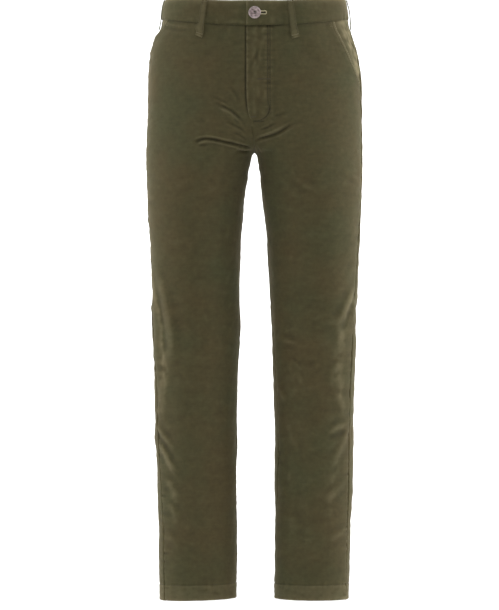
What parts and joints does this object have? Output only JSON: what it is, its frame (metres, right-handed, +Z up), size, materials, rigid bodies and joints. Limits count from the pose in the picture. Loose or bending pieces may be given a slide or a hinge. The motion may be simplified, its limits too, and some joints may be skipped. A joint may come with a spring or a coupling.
{
  "type": "moleskin trousers",
  "caption": "Olive moleskin trousers in worn form, hollow from the waist to both hems, with a waistband, belt loops, a fly with one waist button, and slant pockets.",
  "frame": {"origin": "middle of the waist opening, level with the waistband's top edge at the sides", "axes": "+Z up out of the waist, -Y the front with the fly, +X the wearer's left"},
  "size_m": [0.3722, 0.2339, 1.0408],
  "materials": {
    "moleskin": "napped sheared cotton, soft sheen",
    "horn": "polished mottled horn look"
  },
  "bodies": {
    "root": {"front_left": "moleskin", "front_right": "moleskin", "back_left": "moleskin", "back_right": "moleskin", "pocket_facing_left": "moleskin", "pocket_facing_right": "moleskin", "waistband_left": "moleskin", "waistband_right": "moleskin", "belt_loop_front_left": "moleskin", "belt_loop_front_right": "moleskin", "belt_loop_side_left": "moleskin", "belt_loop_side_right": "moleskin", "belt_loop_back": "moleskin", "waist_button": "horn"}
  },
  "joints": []
}
